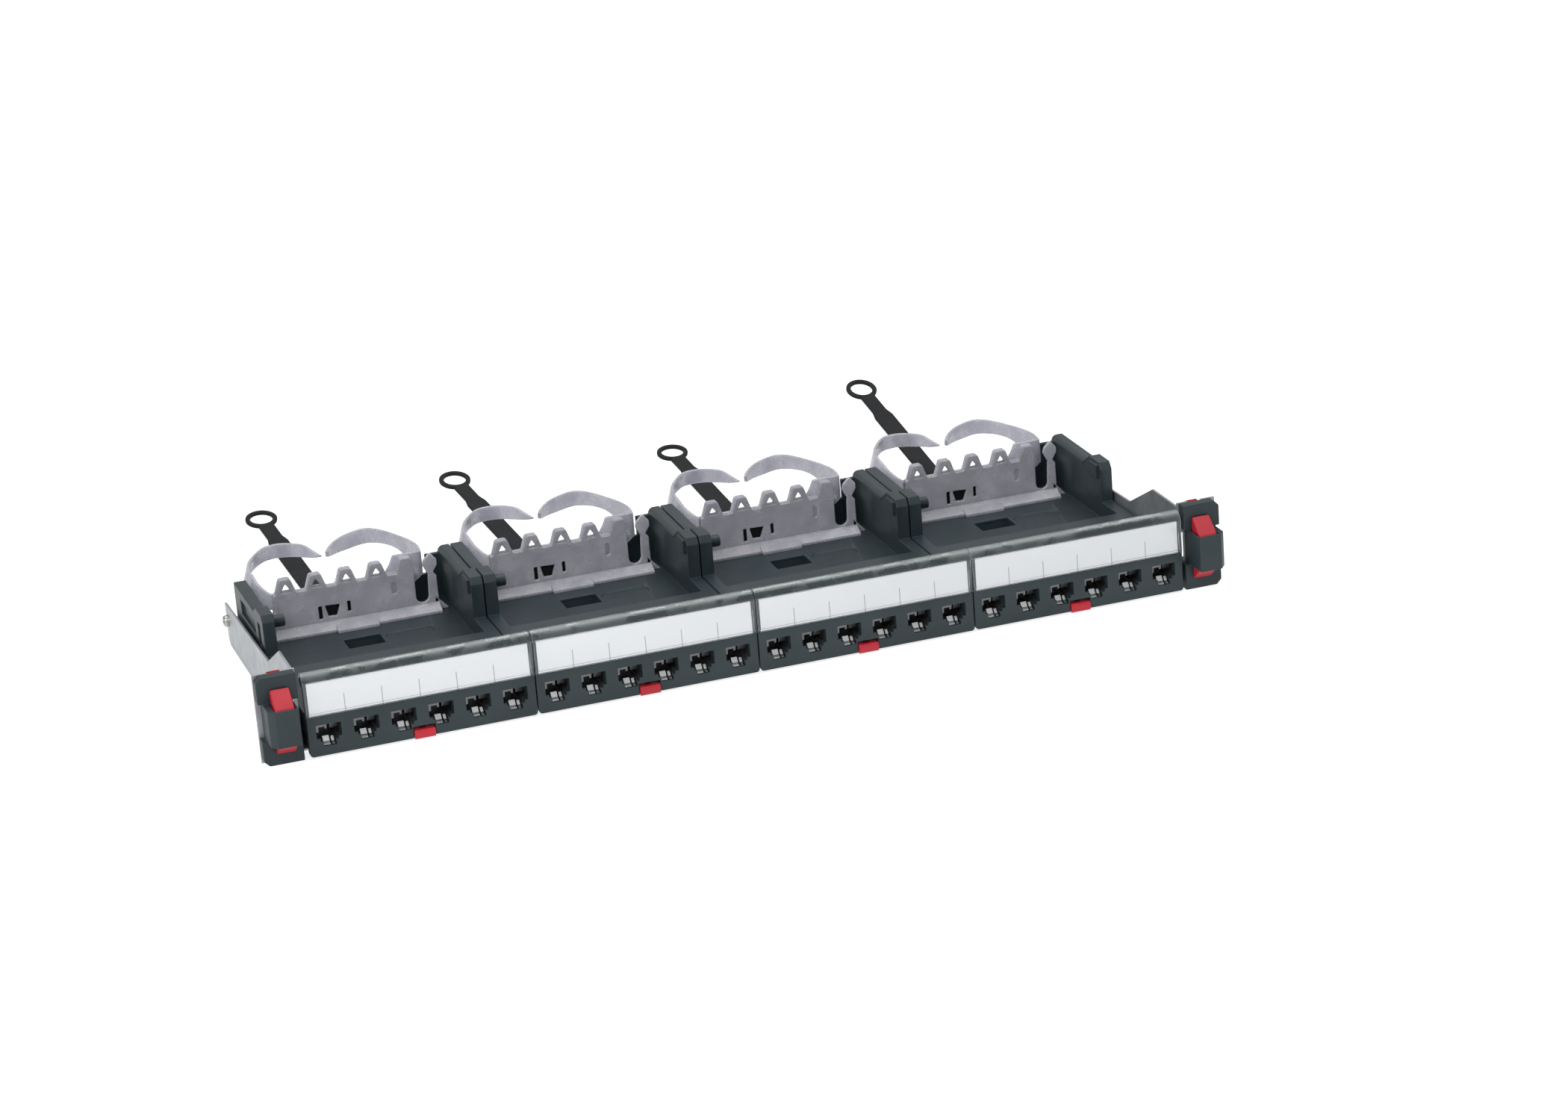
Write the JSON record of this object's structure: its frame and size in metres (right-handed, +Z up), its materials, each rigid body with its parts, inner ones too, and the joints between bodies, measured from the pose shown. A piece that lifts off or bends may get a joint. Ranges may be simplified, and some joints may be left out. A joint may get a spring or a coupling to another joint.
{
  "type": "patch panel",
  "caption": "Rack patch panel with pull-out drawers of shielded sockets, hinged clear label covers, snap-in end caps and combs for the cables behind.",
  "frame": {"origin": "middle of the plane in which the rear faces of the two ears meet the rack rails", "axes": "+X along the rack's width to the right seen from the front, +Y back into the rack, +Z up"},
  "size_m": [0.4826, 0.2699, 0.0536],
  "materials": {
    "zinc_steel": "satin",
    "cap_plastic": "matte",
    "slate_plastic": "matte",
    "dark_plastic": "matte",
    "red_plastic": "gloss",
    "clear_plastic": "clear",
    "card": "matte",
    "die_cast": "satin",
    "black_plastic": "matte",
    "comb_plastic": "translucent",
    "strap_rubber": "matte",
    "plated_steel": "satin"
  },
  "bodies": {
    "rack_frame": {"chassis": "zinc_steel", "end_cap_right": "cap_plastic", "end_cap_left": "cap_plastic", "earth_screw": "plated_steel", "earth_nut": "plated_steel"},
    "latch_left_upper_body": {"latch_left_upper": "red_plastic"},
    "latch_left_lower_body": {"latch_left_lower": "red_plastic"},
    "latch_right_upper_body": {"latch_right_upper": "red_plastic"},
    "latch_right_lower_body": {"latch_right_lower": "red_plastic"},
    "drawer_1": {"tray_1": "dark_plastic", "fascia_1": "slate_plastic", "label_card_1": "card", "jack_shells_1": "die_cast", "jack_inserts_1": "black_plastic", "cable_comb_1": "comb_plastic", "cable_strap_1": "strap_rubber"},
    "cover_1": {"label_cover_1": "clear_plastic"},
    "tab_1": {"release_tab_1": "red_plastic"},
    "drawer_2": {"tray_2": "dark_plastic", "fascia_2": "slate_plastic", "label_card_2": "card", "jack_shells_2": "die_cast", "jack_inserts_2": "black_plastic", "cable_comb_2": "comb_plastic", "cable_strap_2": "strap_rubber"},
    "cover_2": {"label_cover_2": "clear_plastic"},
    "tab_2": {"release_tab_2": "red_plastic"},
    "drawer_3": {"tray_3": "dark_plastic", "fascia_3": "slate_plastic", "label_card_3": "card", "jack_shells_3": "die_cast", "jack_inserts_3": "black_plastic", "cable_comb_3": "comb_plastic", "cable_strap_3": "strap_rubber"},
    "cover_3": {"label_cover_3": "clear_plastic"},
    "tab_3": {"release_tab_3": "red_plastic"},
    "drawer_4": {"tray_4": "dark_plastic", "fascia_4": "slate_plastic", "label_card_4": "card", "jack_shells_4": "die_cast", "jack_inserts_4": "black_plastic", "cable_comb_4": "comb_plastic", "cable_strap_4": "strap_rubber"},
    "cover_4": {"label_cover_4": "clear_plastic"},
    "tab_4": {"release_tab_4": "red_plastic"}
  },
  "joints": [
    {"name": "latch_left_upper_press", "type": "slide", "parent": "rack_frame", "child": "latch_left_upper_body", "axis": [0, 0, -1], "range_m": [0, 0.003], "stiffness_N_per_m": 2500, "springref_m": -0.0008},
    {"name": "latch_left_lower_press", "type": "slide", "parent": "rack_frame", "child": "latch_left_lower_body", "axis": [0, 0, 1], "range_m": [0, 0.003], "stiffness_N_per_m": 2500, "springref_m": -0.0008},
    {"name": "latch_right_upper_press", "type": "slide", "parent": "rack_frame", "child": "latch_right_upper_body", "axis": [0, 0, -1], "range_m": [0, 0.003], "stiffness_N_per_m": 2500, "springref_m": -0.0008},
    {"name": "latch_right_lower_press", "type": "slide", "parent": "rack_frame", "child": "latch_right_lower_body", "axis": [0, 0, 1], "range_m": [0, 0.003], "stiffness_N_per_m": 2500, "springref_m": -0.0008},
    {"name": "drawer_1_slide", "type": "slide", "parent": "rack_frame", "child": "drawer_1", "axis": [0, -1, 0], "range_m": [0, 0.09]},
    {"name": "label_cover_1_hinge", "type": "hinge", "parent": "drawer_1", "child": "cover_1", "pos_m": [-0.165, -0.0043, 0.0156], "axis": [-1, 0, 0], "range_deg": [0, 80]},
    {"name": "release_tab_1_press", "type": "slide", "parent": "drawer_1", "child": "tab_1", "axis": [0, 0, 1], "range_m": [0, 0.0012], "stiffness_N_per_m": 1500, "springref_m": -0.0004},
    {"name": "drawer_2_slide", "type": "slide", "parent": "rack_frame", "child": "drawer_2", "axis": [0, -1, 0], "range_m": [0, 0.09]},
    {"name": "label_cover_2_hinge", "type": "hinge", "parent": "drawer_2", "child": "cover_2", "pos_m": [-0.055, -0.0043, 0.0156], "axis": [-1, 0, 0], "range_deg": [0, 80]},
    {"name": "release_tab_2_press", "type": "slide", "parent": "drawer_2", "child": "tab_2", "axis": [0, 0, 1], "range_m": [0, 0.0012], "stiffness_N_per_m": 1500, "springref_m": -0.0004},
    {"name": "drawer_3_slide", "type": "slide", "parent": "rack_frame", "child": "drawer_3", "axis": [0, -1, 0], "range_m": [0, 0.09]},
    {"name": "label_cover_3_hinge", "type": "hinge", "parent": "drawer_3", "child": "cover_3", "pos_m": [0.055, -0.0043, 0.0156], "axis": [-1, 0, 0], "range_deg": [0, 80]},
    {"name": "release_tab_3_press", "type": "slide", "parent": "drawer_3", "child": "tab_3", "axis": [0, 0, 1], "range_m": [0, 0.0012], "stiffness_N_per_m": 1500, "springref_m": -0.0004},
    {"name": "drawer_4_slide", "type": "slide", "parent": "rack_frame", "child": "drawer_4", "axis": [0, -1, 0], "range_m": [0, 0.09]},
    {"name": "label_cover_4_hinge", "type": "hinge", "parent": "drawer_4", "child": "cover_4", "pos_m": [0.165, -0.0043, 0.0156], "axis": [-1, 0, 0], "range_deg": [0, 80]},
    {"name": "release_tab_4_press", "type": "slide", "parent": "drawer_4", "child": "tab_4", "axis": [0, 0, 1], "range_m": [0, 0.0012], "stiffness_N_per_m": 1500, "springref_m": -0.0004}
  ]
}
